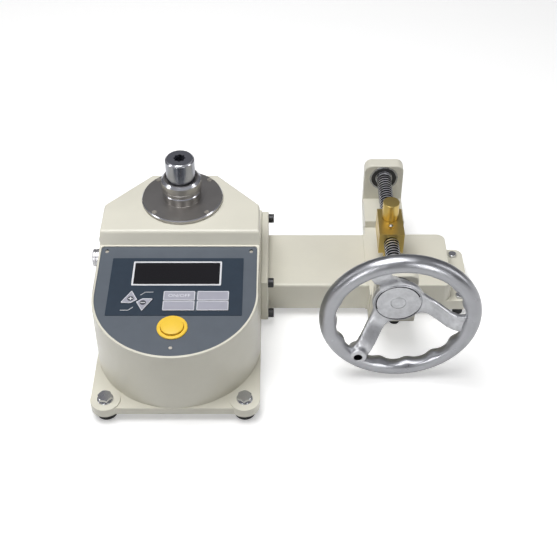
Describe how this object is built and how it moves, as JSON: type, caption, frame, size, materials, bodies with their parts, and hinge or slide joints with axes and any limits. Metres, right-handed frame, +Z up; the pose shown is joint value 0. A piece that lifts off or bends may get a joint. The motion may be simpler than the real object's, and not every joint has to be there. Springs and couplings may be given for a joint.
{
  "type": "torque tester",
  "caption": "Bench tester for torque wrenches: measuring spindle, display and keypad on a cast body, with a side arm whose handwheel and lead screw load the wrench.",
  "frame": {"origin": "middle of the whole part's outline seen from above, on the table under its feet", "axes": "+X from the body towards the end of the arm, +Y from the handwheel side to the back, +Z up along the spindle"},
  "size_m": [0.404, 0.3113, 0.1667],
  "materials": {
    "cream_enamel": "smooth cream enamel over metal",
    "black_rubber": "black moulded rubber",
    "bright_fixings": "bright plated fixings",
    "dark_fixings": "dark blackened steel",
    "slate_panel": "slate grey enamel",
    "navy_film": "dark blue grey keypad film",
    "pale_frame": "pale grey display frame",
    "dark_window": "smoked black window",
    "grey_key": "light grey keys",
    "yellow_button": "yellow moulded plastic",
    "black_plastic": "black moulded plastic",
    "green_board": "green laminate",
    "slate_plastic": "slate sleeve",
    "brass": "turned and milled brass",
    "grey_steel": "machined grey steel",
    "ground_steel": "ground steel",
    "dark_iron": "dark cast iron",
    "socket_alloy": "pale nickel plated alloy",
    "polished_alloy": "polished cast aluminium"
  },
  "bodies": {
    "tester": {"base_plate": "cream_enamel", "base_feet": "black_rubber", "base_bolts": "bright_fixings", "body_casting": "cream_enamel", "casting_screws": "dark_fixings", "front_panel": "slate_panel", "panel_screws": "bright_fixings", "keypad_film": "navy_film", "display_frame": "pale_frame", "display_window": "dark_window", "button_bezel": "yellow_button", "button_nut": "black_plastic", "button_switch": "black_plastic", "circuit_board": "green_board", "display_module": "black_plastic", "board_standoffs": "brass", "battery_pack": "slate_plastic", "spindle_flange": "grey_steel", "flange_screws": "dark_fixings", "spindle_collar": "grey_steel", "measuring_anvil": "grey_steel", "spindle_bearing": "ground_steel", "torsion_shaft": "ground_steel", "shaft_anchor": "dark_iron", "anchor_screws": "dark_fixings", "data_socket": "socket_alloy", "charger_inlet": "black_plastic", "side_screw": "dark_fixings", "arm_flange": "cream_enamel", "arm_flange_screws": "dark_fixings", "arm_tube": "cream_enamel", "end_casting": "cream_enamel", "end_feet": "black_rubber", "end_foot_bolts": "bright_fixings", "front_bracket": "cream_enamel", "rear_bracket": "cream_enamel", "bracket_screws": "dark_fixings", "front_bearing": "ground_steel", "rear_bearing": "ground_steel", "guide_rod": "ground_steel"},
    "screw": {"lead_screw": "ground_steel", "thrust_collar": "grey_steel", "screw_end_nut": "bright_fixings", "handwheel": "polished_alloy", "wheel_screw": "dark_fixings", "wheel_key": "dark_fixings"},
    "carriage": {"nut_block": "brass", "side_lock_screw": "brass", "ball_oiler": "ground_steel", "reaction_post": "brass"},
    "start_button": {"start_button": "yellow_button"},
    "power_key": {"power_key": "grey_key"},
    "clear_key": {"clear_key": "grey_key"},
    "mode_key": {"mode_key": "grey_key"},
    "stat_key": {"stat_key": "grey_key"},
    "up_key": {"up_key": "grey_key"},
    "down_key": {"down_key": "grey_key"}
  },
  "joints": [
    {"name": "handwheel_turn", "type": "hinge", "parent": "tester", "child": "screw", "pos_m": [0.1134, 0.05985, 0.0832], "axis": [0, 1, 0], "range_deg": [-5940, 4500]},
    {"name": "carriage_slide", "type": "slide", "parent": "tester", "child": "carriage", "axis": [0, 1, 0], "range_m": [-0.05, 0.066]},
    {"name": "start_button_press", "type": "slide", "parent": "tester", "child": "start_button", "axis": [0, 0.0523, -0.9986], "range_m": [0, 0.003], "stiffness_N_per_m": 900},
    {"name": "power_key_press", "type": "slide", "parent": "tester", "child": "power_key", "axis": [0, 0.0523, -0.9986], "range_m": [0, 0.0004], "stiffness_N_per_m": 3000},
    {"name": "clear_key_press", "type": "slide", "parent": "tester", "child": "clear_key", "axis": [0, 0.0523, -0.9986], "range_m": [0, 0.0004], "stiffness_N_per_m": 3000},
    {"name": "mode_key_press", "type": "slide", "parent": "tester", "child": "mode_key", "axis": [0, 0.0523, -0.9986], "range_m": [0, 0.0004], "stiffness_N_per_m": 3000},
    {"name": "stat_key_press", "type": "slide", "parent": "tester", "child": "stat_key", "axis": [0, 0.0523, -0.9986], "range_m": [0, 0.0004], "stiffness_N_per_m": 3000},
    {"name": "up_key_press", "type": "slide", "parent": "tester", "child": "up_key", "axis": [0, 0.0523, -0.9986], "range_m": [0, 0.0004], "stiffness_N_per_m": 3000},
    {"name": "down_key_press", "type": "slide", "parent": "tester", "child": "down_key", "axis": [0, 0.0523, -0.9986], "range_m": [0, 0.0004], "stiffness_N_per_m": 3000}
  ],
  "couplings": [
    {"joint": "carriage_slide", "follows": "handwheel_turn", "m_per_rad": -0.00063662}
  ]
}
